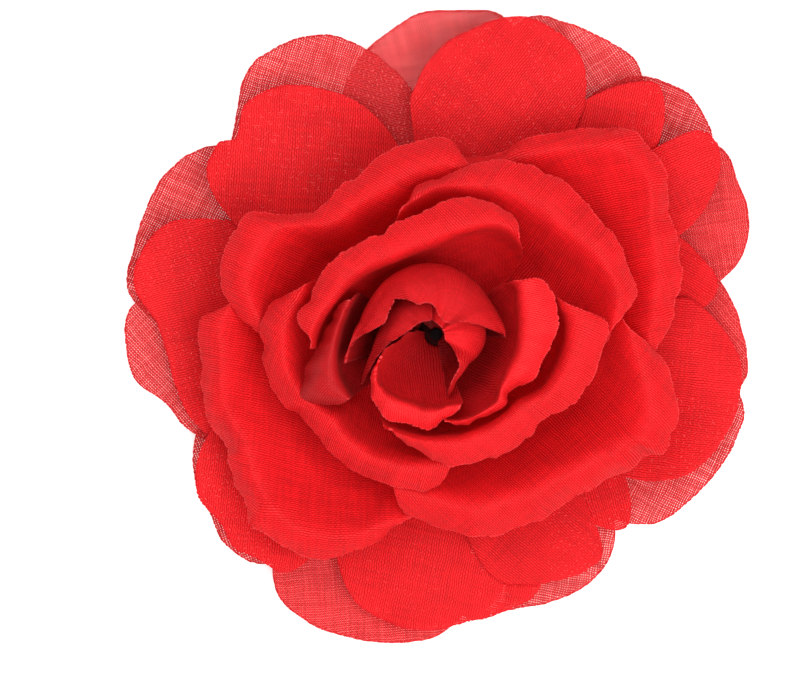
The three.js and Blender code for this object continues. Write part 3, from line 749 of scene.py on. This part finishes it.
@dataclass(frozen=True)
class ClothFinish:
    """Stiffened, semi-sheer woven polyester, dyed red. Lengths are in mm on the flat cloth.

    The crowns of the threads have the colour thread and the dips between them hollow: the crowns' lighter,
    pinker tone is a painted highlight and the darker dips are painted shade. The cut edge has the colour cut,
    a painted highlight where it is lighter than the cloth and the sealed edge's own colour where it is
    darker.
    The threads lie pitch apart. A larger opening makes wider pinholes, and what shows through them has the
    tint beyond. The share through of the light glows through the threads, and cut edges fray as far in as
    fray. Where deep is given as (low, high, tone), painted shade darkens the colour lower down in the bloom:
    below the height low the colour has only that tone, and above high it is the plain one.
    """

    name: str
    # Crown and dip colours: the crowns' lighter, pinker tone is a painted highlight, the darker dips painted
    # shade.
    thread: Colour = (0.98, 0.026, 0.034)
    shaded_dip: Colour = (0.63, 0.0, 0.001)
    pitch: float = 0.4
    roughness: float = 0.45
    through: float = 0.3
    opening: float = 0.34
    relief: float = 0.5
    # Edge colour: lighter than the cloth it is a painted highlight on the frayed edge, darker it is the
    # sealed edge's own colour.
    cut: Colour = (1.0, 0.07, 0.08)
    # Painted shade: (low, high, tone) darkens the colour towards the bottom of the bloom, by height.
    painted_depth_shade: tuple[float, float, float] | None = None
    fray: float = 0.3
    beyond: Colour = (1.0, 1.0, 1.0)
    bend: float = 0.8
    slub: float = 0.12
    hem: tuple[float, float] = (0.15, 0.45)
    cut_band: tuple[float, float] = (0.1, 0.4)
    gloss: float = 0.2

    def lattice(self, s: Shader, cloth: Socket) -> tuple[Socket, ...]:
        """Lays the threads, bent a little off the straight.

        Args:
            s: the material's helper.
            cloth: place on the flat cloth.

        Returns:
            The bent place, how near it is to the middle of its warp thread and of its weft thread, 0 to 1,
            and which of the two lies on top, -1 to 1.
        """
        wobble = s.node("TexNoise", {"Vector": cloth, "Scale": 0.3, "Detail": 2.0}).outputs["Color"]
        centred = s.node("VectorMath", {0: wobble, 1: (0.5, 0.5, 0.5)}, operation="SUBTRACT").outputs[0]
        shift = {0: centred, 1: (self.bend, self.bend, self.bend), 2: cloth}
        bent = s.node("VectorMath", shift, operation="MULTIPLY_ADD").outputs[0]
        place = s.node("SeparateXYZ", {0: bent}).outputs
        turn = math.pi / self.pitch
        x_wave = s.math("SINE", s.math("MULTIPLY", place[0], turn))
        y_wave = s.math("SINE", s.math("MULTIPLY", place[1], turn))
        crossing = s.math("MULTIPLY", x_wave, y_wave)
        return bent, s.math("ABSOLUTE", x_wave), s.math("ABSOLUTE", y_wave), crossing

    def height(self, s: Shader, warp: Socket, weft: Socket, crossing: Socket) -> Socket:
        """Raises whichever thread lies on top.

        Args:
            s: the material's helper.
            warp: nearness to the warp thread's middle.
            weft: nearness to the weft thread's middle.
            crossing: which of the two lies on top.

        Returns:
            The height, 0 to 1.
        """
        over = s.ramp(crossing, -0.3, 0.3)
        raised = s.math("MULTIPLY", warp, over)
        return s.math("ADD", raised, s.math("MULTIPLY", weft, s.math("SUBTRACT", 1.0, over)))

    def slubs(self, s: Shader, bent: Socket) -> Socket:
        """Makes thick and thin places that run along the threads.

        Args:
            s: the material's helper.
            bent: the bent place on the cloth.

        Returns:
            The unevenness, about 1 on average.
        """
        across, along = (1 / self.pitch, self.slub, 1), (self.slub, 1 / self.pitch, 1)
        slub_x = s.node("Mapping", {"Vector": bent, "Scale": across}).outputs[0]
        slub_y = s.node("Mapping", {"Vector": bent, "Scale": along}).outputs[0]
        return s.math("ADD", s.noise(slub_x, 0.9), s.noise(slub_y, 0.9))

    def clearings(self, s: Shader, cloth: Socket, to_cut: Socket, gap: Socket, uneven: Socket) -> Socket:
        """Finds the pinholes between the threads and the frayed bits of the cut edge.

        Args:
            s: the material's helper.
            cloth: place on the flat cloth.
            to_cut: distance to the cut edge.
            gap: nearness to the nearer thread's middle.
            uneven: the threads' unevenness.

        Returns:
            1 where there is no cloth, else 0.
        """
        open_here = s.ramp(to_cut, *self.hem, 0, self.opening)
        limit = s.math("MULTIPLY", s.ramp(uneven, 0.7, 1.3, 0.68, 1.32), open_here)
        hole = s.math("LESS_THAN", gap, limit)
        thread_end = s.noise(cloth, 2.4)
        frayed = s.math("LESS_THAN", to_cut, s.ramp(thread_end, 0.42, 0.68, 0.0, self.fray))
        return s.math("MAXIMUM", hole, frayed)

    def colour_and_painted_light(self, s: Shader, cloth: Socket, to_cut: Socket, tops: Socket, uneven: Socket) -> Socket:
        """Colours the threads.

        Args:
            s: the material's helper.
            cloth: place on the flat cloth.
            to_cut: distance to the cut edge.
            tops: 1 on the crown of a thread, 0 in the dips.
            uneven: the threads' unevenness.

        Returns:
            The colour.
        """
        # Lighter crowns by painted highlight, darker dips by painted shade.
        colour = s.mix(tops, (*self.shaded_dip, 1), (*self.thread, 1))
        patchy = s.noise(cloth, 0.16, 3.0)
        value = s.math("MULTIPLY", s.ramp(uneven, 0.7, 1.3, 0.9, 1.08), s.ramp(patchy, 0.3, 0.7, 0.95, 1.04))
        # Painted shade: the colour darkens with height, from the plain colour above high to tone below low.
        if self.painted_depth_shade:
            low, high, tone = self.painted_depth_shade
            up = s.node("SeparateXYZ", {0: s.node("TexCoord").outputs["Object"]}).outputs[2]
            value = s.math("MULTIPLY", value, s.ramp(up, low * MM, high * MM, tone, 1.0))
        # Edge colour: a painted highlight where it is lighter than the cloth, the sealed edge's own colour
        # where it is darker.
        at_cut = s.ramp(to_cut, *self.cut_band, 0.7, 0.0)
        dyed = s.mix(at_cut, colour, (*self.cut, 1))
        return s.node("HueSaturation", {"Value": value, "Color": dyed}).outputs[0]

    def build(self) -> bpy.types.Material:
        """Makes the material: a plain weave with uneven threads, pinholes and a frayed cut edge.

        Returns:
            The new material.
        """
        s = Shader(self.name)
        cloth = s.node("UVMap", uv_map="Cloth").outputs[0]
        to_cut = s.node("SeparateXYZ", {0: s.node("UVMap", uv_map="Edge").outputs[0]}).outputs[0]
        bent, warp, weft, crossing = self.lattice(s, cloth)
        uneven = self.slubs(s, bent)
        tops = s.math("ADD", s.ramp(warp, 0.15, 0.9, 0, 0.74), s.ramp(crossing, -0.7, 0.7, 0, 0.26))
        tint = self.colour_and_painted_light(s, cloth, to_cut, tops, uneven)
        height = self.height(s, warp, weft, crossing)
        bump = s.node("Bump", {"Strength": self.relief, "Distance": 0.1 * MM, "Height": height}).outputs[0]
        look = {
            "Base Color": tint,
            "Roughness": self.roughness,
            "Specular IOR Level": s.math("MULTIPLY", tops, self.gloss),
            "Sheen Weight": 0.02,
            "Sheen Roughness": 0.4,
            "Sheen Tint": (1.0, 0.35, 0.3, 1.0),
            "Normal": bump,
        }
        body = s.node("BsdfPrincipled", look).outputs[0]
        glow = s.node("BsdfTranslucent", {"Color": tint, "Normal": bump}).outputs[0]
        solid = s.node("MixShader", {0: self.through, 1: body, 2: glow}).outputs[0]
        see = s.node("BsdfTransparent", {"Color": (*self.beyond, 1)}).outputs[0]
        clear = self.clearings(s, cloth, to_cut, s.math("MAXIMUM", warp, weft), uneven)
        return s.finish(s.node("MixShader", {0: clear, 1: solid, 2: see}).outputs[0])


@dataclass(frozen=True)
class FeltFinish:
    """Pressed felt, nearly black."""

    name: str
    colour: Colour = (0.012, 0.009, 0.010)

    def build(self) -> bpy.types.Material:
        """Makes the material: matted fibres as noise in colour, roughness and bump.

        Returns:
            The new material.
        """
        s = Shader(self.name)
        at = s.node("TexCoord").outputs["Object"]
        fibres, clumps = s.noise(at, 2600.0, 5.0), s.noise(at, 380.0, 3.0)
        pale = tuple(3.2 * c for c in self.colour)
        colour = s.mix(s.ramp(s.math("MULTIPLY", fibres, clumps), 0.12, 0.45), (*self.colour, 1), (*pale, 1))
        bump = s.node("Bump", {"Strength": 0.6, "Distance": 0.0003, "Height": fibres}).outputs[0]
        body = s.node(
            "BsdfPrincipled",
            {
                "Base Color": colour,
                "Roughness": s.ramp(clumps, 0.3, 0.7, 0.85, 1.0),
                "Specular IOR Level": 0.2,
                "Normal": bump,
            },
        )
        return s.finish(body.outputs[0])


@dataclass(frozen=True)
class BoundFinish:
    """Petal roots bound with red thread, round a black stamen."""

    name: str
    thread: Colour = (0.04, 0.0006, 0.001)
    stamen: Colour = (0.004, 0.002, 0.003)
    stamen_from: float = 14.75
    pitch: float = 0.4

    def build(self) -> bpy.types.Material:
        """Makes the material: turns of thread as bands up the post, and the stamen above them.

        Returns:
            The new material.
        """
        s = Shader(self.name)
        at = s.node("TexCoord").outputs["Object"]
        height = s.node("SeparateXYZ", {0: at}).outputs[2]
        turns = s.math("SINE", s.math("MULTIPLY", height, 2 * math.pi / (self.pitch * MM)))
        # Darker bands between the turns: painted shade in the grooves.
        groove_shade = tuple(0.5 * c for c in self.thread)
        bound = s.mix(s.ramp(turns, -0.8, 0.8), (*groove_shade, 1), (*self.thread, 1))
        low, high = (self.stamen_from - 0.3) * MM, (self.stamen_from + 0.3) * MM
        colour = s.mix(s.ramp(height, low, high), bound, (*self.stamen, 1))
        rough = s.ramp(s.noise(at, 1500.0, 3.0), 0.3, 0.7, 0.75, 0.95)
        bump = s.node("Bump", {"Strength": 0.6, "Distance": 0.0001, "Height": turns}).outputs[0]
        look = {"Base Color": colour, "Roughness": rough, "Specular IOR Level": 0.2, "Normal": bump}
        return s.finish(s.node("BsdfPrincipled", look).outputs[0])


@dataclass(frozen=True)
class FloorFinish:
    """A plain white table that reads as pure white where nothing shades it."""

    name: str = "white_floor"
    glow: float = 0.5

    def build(self) -> bpy.types.Material:
        """Makes the material: white, with a little light of its own that only the view sees.

        Returns:
            The new material.
        """
        s = Shader(self.name)
        path = s.node("LightPath").outputs
        mirrored = s.math("MAXIMUM", path["Is Glossy Ray"], path["Is Transmission Ray"])
        seen = s.math("MAXIMUM", path["Is Camera Ray"], mirrored)
        white = s.node("BsdfDiffuse", {"Color": (0.93, 0.93, 0.93, 1)}).outputs[0]
        light = s.node("Emission", {"Color": (1, 1, 1, 1), "Strength": s.math("MULTIPLY", seen, self.glow)})
        return s.finish(s.node("AddShader", {0: white, 1: light.outputs[0]}).outputs[0])


@dataclass
class Bloom:
    """All the petals of the rose."""

    cloth: ClothFinish
    sheer: ClothFinish
    veil: ClothFinish
    dense: ClothFinish
    bud: ClothFinish
    lobe: ClothFinish
    band: ClothFinish
    heart: ClothFinish
    pit: ClothFinish

    def finish_of(self, petal: Petal) -> ClothFinish:
        """Chooses a petal's cloth by its place in the bloom, and by how closely it is woven.

        Args:
            petal: the petal to be dressed.

        Returns:
            The finish of its cloth.
        """
        if isinstance(petal, FlatPetal):
            if petal.ring is not FLATS[Ring.SHEER_A]:
                return self.sheer
            return self.dense if petal.name in CLOSE_WOVEN else self.veil
        # Each bud petal gets a copy of the bud cloth with its own painted shade lower down in the bloom.
        own = {"bud_1": self.lobe, "bud_2": self.bud, "bud_3": self.band, "bud_6": self.pit}
        return own.get(petal.name, self.heart if petal.name.startswith("bud") else self.cloth)

    def petals(self) -> list[Petal]:
        """Lists every petal with its ring, its weave direction and its own small irregularities.

        Returns:
            The petals, from the back of the bloom to its middle.
        """
        made: list[Petal] = []
        # Each petal is cut at its own angle to the weave, in degrees, and has its own place in the noise.
        for n, (name, (ring, level, knots)) in enumerate(FLAT_PETALS.items()):
            petal = FlatPetal(name, knots, (37 * n) % 90 - 45, 10.3 * n, ring=FLATS[ring], level=level)
            petal.flutter, petal.folds, petal.scallop = 0.2, 0.2, 0.22
            made.append(petal)
        for n, (name, (ring, ends, knots)) in enumerate(CUP_PETALS.items()):
            petal = CupPetal(name, knots, (53 * n + 20) % 90 - 45, 400 + 9.1 * n, ends, ring=CUPS[ring])
            if name in DROOPS:
                petal.ring = replace(petal.ring, droop=DROOPS[name])
            petal.corner, petal.flutter, petal.folds, petal.scallop = 0.12, 0.6, 0.45, 0.6
            petal.step = 0.4 if name.startswith("bud") else 0.5
            made.append(petal)
        for n, (name, (ring, ends, knots)) in enumerate(HOOD_PETALS.items()):
            petal = HoodPetal(name, knots, (61 * n + 10) % 90 - 45, 700 + 8.7 * n, ends, ring=HOODS[ring])
            petal.corner, petal.step, petal.scallop = 0.02, 0.38, 0.45
            made.append(petal)
        return made

    def build(self) -> None:
        """Makes, dresses and declares each petal."""
        woven = {cloth: cloth.build() for cloth in vars(self).values()}
        for petal in self.petals():
            piece = petal.build()
            piece.data.materials.append(woven[self.finish_of(petal)])
            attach(piece, "root")
            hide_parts(petal.name)
            size = [round(1000 * s, 1) for s in petal.flat_size]
            LOG.info("%s: %d faces, cut %s mm", piece.name, len(piece.data.polygons), size)


@dataclass
class Backing:
    """The felt disc and the bound post, kept as the frame gives them."""

    disc: FeltFinish
    post: BoundFinish

    def dress(self) -> None:
        """Gives both nodes their finish."""
        for node, finish in (("backing_disc", self.disc), ("core", self.post)):
            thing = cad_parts[node]
            thing.data.materials.clear()
            thing.data.materials.append(finish.build())
            LOG.info("%s dressed", node)


@dataclass(frozen=True)
class Lamp:
    """A square soft lamp: its place and the length of its sides in metres, and its power in watts."""

    name: str
    place: tuple[float, float, float]
    size: float
    watts: float


@dataclass
class Studio:
    """Camera straight above, soft light and a white table."""

    frame_px: tuple[int, int] = (800, 685)
    mm_per_px: float = 0.1732
    axis_px: tuple[float, float] = (436.0, 334.0)
    height: float = 0.9
    lamps: tuple[Lamp, ...] = (
        Lamp("key", (0.24, -0.24, 0.66), 0.6, 5.1),
        Lamp("fill", (-0.2, 0.25, 0.75), 0.6, 2.9),
    )
    sky: float = 0.5

    def camera(self) -> None:
        """Looks straight down, with the bloom where the photograph has it."""
        data = bpy.data.cameras.new("view_from_above")
        data.type = "ORTHO"
        width, tall = self.frame_px
        data.ortho_scale = width * self.mm_per_px * MM
        eye = bpy.data.objects.new("view_from_above", data)
        x = (width / 2 - self.axis_px[0]) * self.mm_per_px * MM
        y = (self.axis_px[1] - tall / 2) * self.mm_per_px * MM
        eye.location = (x, y, self.height)
        bpy.context.scene.collection.objects.link(eye)
        bpy.context.scene.camera = eye

    def hang(self, lamp: Lamp) -> None:
        """Adds one lamp that faces the bloom.

        Args:
            lamp: the lamp's place, size and power.
        """
        data = bpy.data.lights.new(lamp.name, "AREA")
        data.shape = "SQUARE"
        data.size = lamp.size
        data.energy = lamp.watts
        hung = bpy.data.objects.new(lamp.name, data)
        hung.location = lamp.place
        hung.rotation_euler = (-Vector(lamp.place)).to_track_quat("-Z", "Y").to_euler()
        bpy.context.scene.collection.objects.link(hung)

    def floor(self, finish: FloorFinish) -> None:
        """Adds the table that the disc lies on.

        Args:
            finish: the table's finish.
        """
        bm = bmesh.new()
        bmesh.ops.create_grid(bm, x_segments=1, y_segments=1, size=1.5)
        mesh = bpy.data.meshes.new("table")
        bm.to_mesh(mesh)
        bm.free()
        table = bpy.data.objects.new("table", mesh)
        bpy.context.scene.collection.objects.link(table)
        mesh.materials.append(finish.build())

    def build(self) -> None:
        """Sets up camera, lamps, sky and table."""
        self.camera()
        for lamp in self.lamps:
            self.hang(lamp)
        sky = bpy.data.worlds.new("soft_sky")
        sky.use_nodes = True
        back = sky.node_tree.nodes["Background"]
        back.inputs["Color"].default_value = (1, 1, 1, 1)
        back.inputs["Strength"].default_value = self.sky
        bpy.context.scene.world = sky
        bpy.context.scene.view_settings.view_transform = "Standard"
        self.floor(FloorFinish())


def main() -> None:
    """Builds the scene in order and reports each piece."""
    logging.basicConfig(level=logging.INFO, format="%(message)s")
    Studio().build()
    Backing(FeltFinish("black_felt"), BoundFinish("bound_post")).dress()
    cloth = ClothFinish("rose_cloth", opening=0.16, through=0.35)
    sheer = ClothFinish("sheer_cloth", pitch=0.39, opening=0.29, cut=(0.9, 0.02, 0.03), fray=0.2)
    # The veil's pinker crowns are a painted highlight and its darker dips painted shade; its darker cut edge
    # is the sealed edge's own colour.
    veil = ClothFinish("open_cloth", (0.9, 0.05, 0.055), (0.52, 0.004, 0.008), cut=(0.8, 0.03, 0.036))
    veil = replace(veil, opening=0.53, fray=0.18, beyond=(1.0, 0.82, 0.82))
    dense = replace(veil, name="close_cloth", opening=0.43, beyond=(1.0, 0.62, 0.62))
    # The bud's cloths are copies of one cloth, each with its own painted shade lower down in the bloom.
    bud = ClothFinish("bud_cloth", shaded_dip=(0.7, 0, 0.001), through=0.2, opening=0.1, painted_depth_shade=(14, 24, 0.6))
    lobe = replace(bud, name="lobe_shaded_cloth", through=0.1, painted_depth_shade=(20, 60, 0.44))
    band = replace(bud, name="band_shaded_cloth", painted_depth_shade=(15, 28, 0.58))
    heart = replace(lobe, name="heart_shaded_cloth", painted_depth_shade=(17, 45, 0.42))
    pit = replace(lobe, name="pit_shaded_cloth", painted_depth_shade=(17, 32, 0.26))
    Bloom(cloth, sheer, veil, dense, bud, lobe, band, heart, pit).build()


if __name__ == "__main__":
    main()
